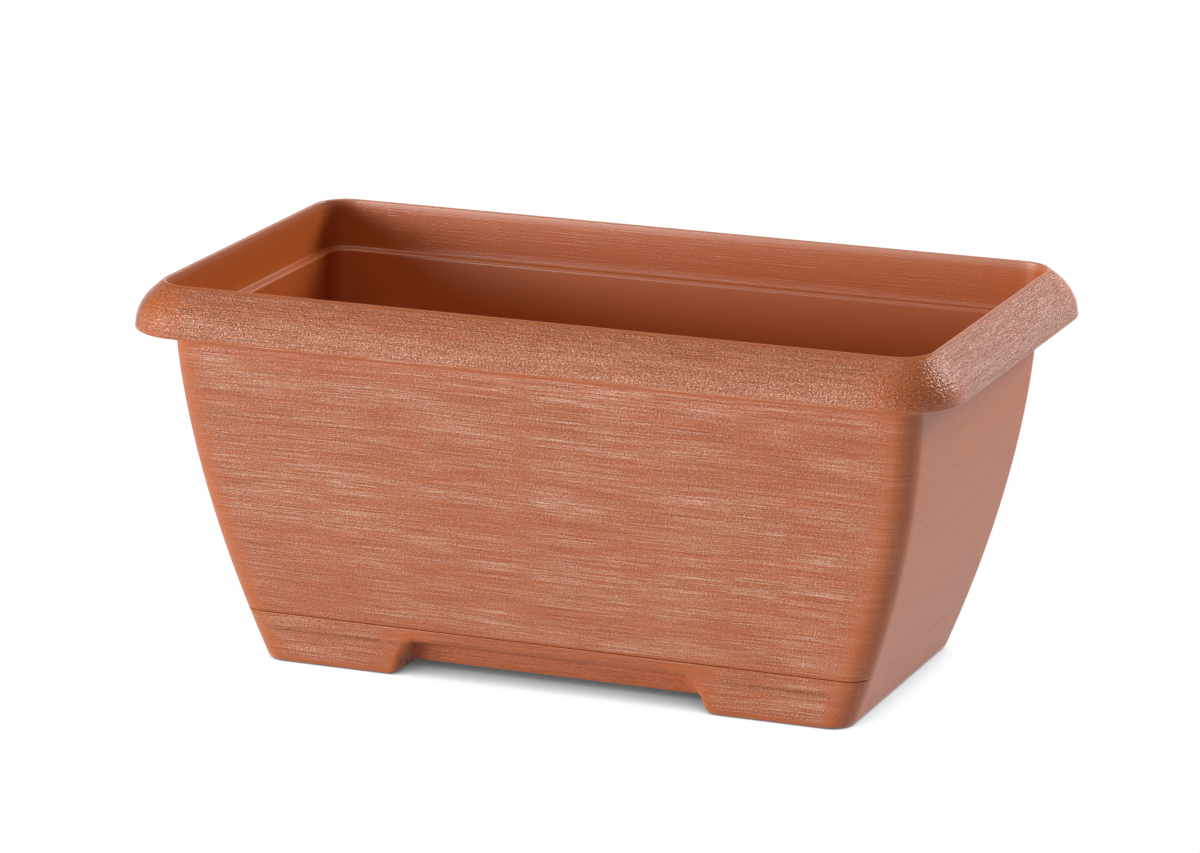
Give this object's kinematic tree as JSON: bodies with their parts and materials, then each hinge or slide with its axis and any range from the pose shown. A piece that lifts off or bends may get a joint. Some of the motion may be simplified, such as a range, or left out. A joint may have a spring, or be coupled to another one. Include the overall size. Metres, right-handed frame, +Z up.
{
  "type": "window box planter",
  "caption": "Flared rectangular window box planter with a rolled hollow rim and an inner ledge, lifting off a footed saucer, in brushed terracotta plastic.",
  "frame": {"origin": "on the ground, under the middle of the planter's bounding box", "axes": "+X along the planter's length, +Y from its front to its back, +Z up"},
  "size_m": [0.4, 0.22, 0.182],
  "materials": {
    "terracotta_plastic": "moulded polypropylene, brushed in long horizontal strokes with pale rubbed streaks outside, plain satin inside"
  },
  "bodies": {
    "saucer": {"saucer": "terracotta_plastic"},
    "planter_box": {"planter_box": "terracotta_plastic"}
  },
  "joints": [
    {"name": "box_lift", "type": "slide", "parent": "saucer", "child": "planter_box", "axis": [0, 0, 1], "range_m": [0, 0.06]}
  ]
}
